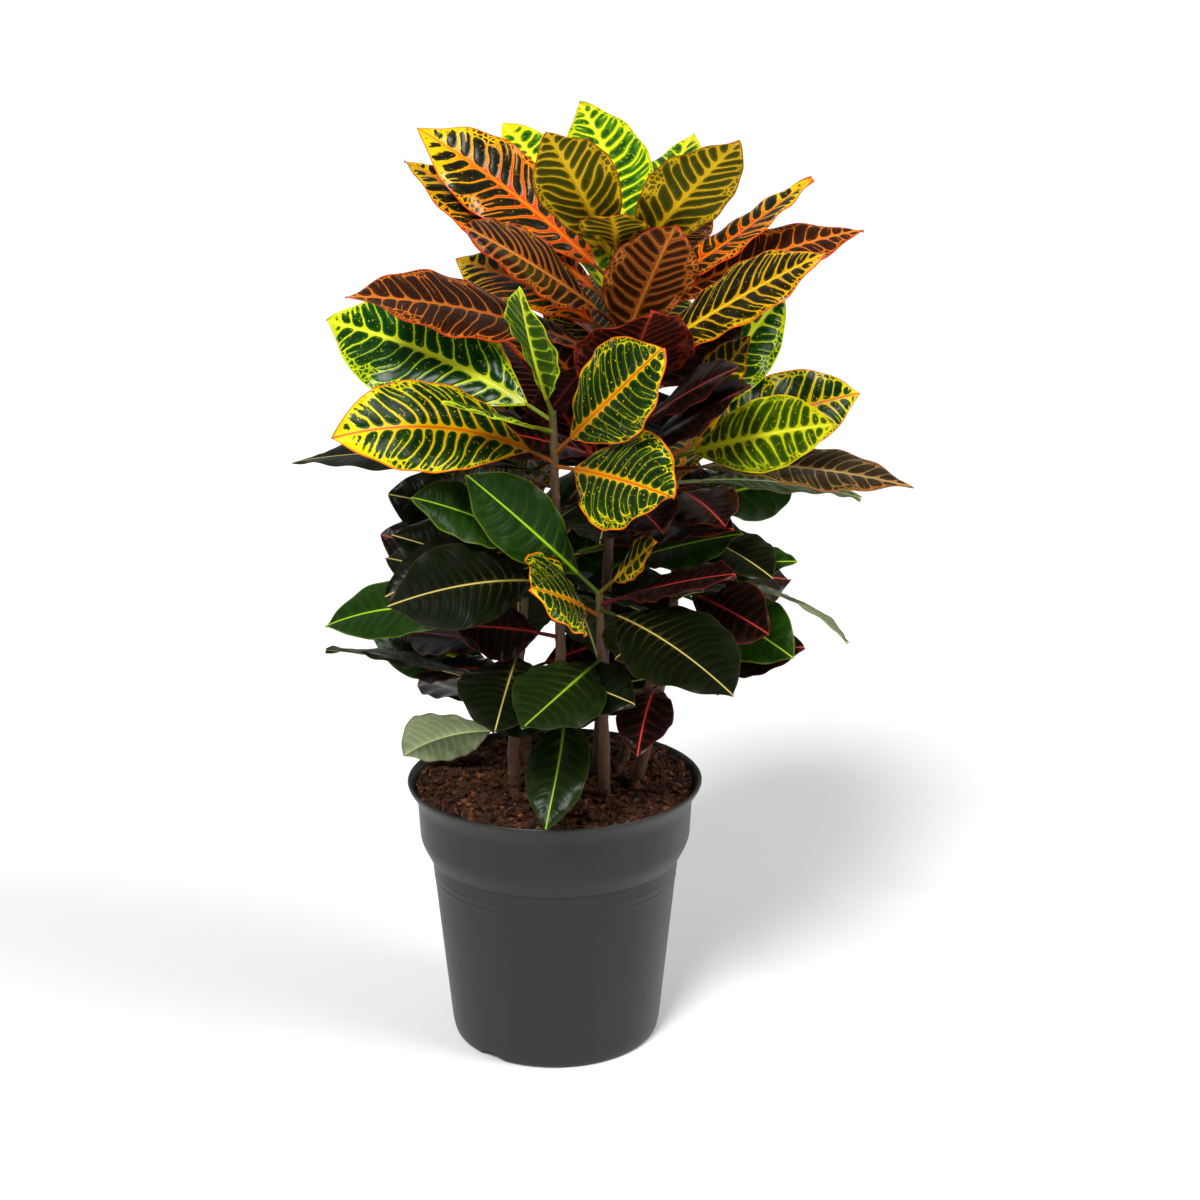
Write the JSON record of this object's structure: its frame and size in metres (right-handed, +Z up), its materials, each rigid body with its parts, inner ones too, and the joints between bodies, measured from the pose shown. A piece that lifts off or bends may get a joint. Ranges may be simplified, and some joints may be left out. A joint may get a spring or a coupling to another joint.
{
  "type": "potted croton",
  "caption": "Leafy croton with painted oval leaves on several upright stems, in soil in a round tapered nursery pot.",
  "frame": {"origin": "centre of the pot's base, on the plane that the pot stands on", "axes": "+Z up along the pot's axis, -Y towards the side that faces the viewer, +X to the viewer's right"},
  "size_m": [0.4128, 0.4027, 0.6581],
  "materials": {
    "pot_plastic": "satin anthracite grey moulded plastic",
    "potting_soil": "rough damp peat and bark",
    "sunset_leaf": "glossy leaf, rust and olive with yellow and orange veins",
    "gold_net_leaf": "glossy leaf, green with a net of yellow veins",
    "green_leaf": "glossy leaf, green with yellow veins",
    "dark_leaf": "glossy leaf, very dark green with a pale or red midrib",
    "stem_bark": "brown grey bark with leaf scars"
  },
  "bodies": {
    "root": {"pot": "pot_plastic", "soil": "potting_soil", "tall_plant": "sunset_leaf", "front_left_plant": "gold_net_leaf", "right_plant": "green_leaf", "low_right_plant": "dark_leaf", "front_plant": "dark_leaf", "low_left_plant": "dark_leaf", "back_plant": "green_leaf"}
  },
  "joints": []
}
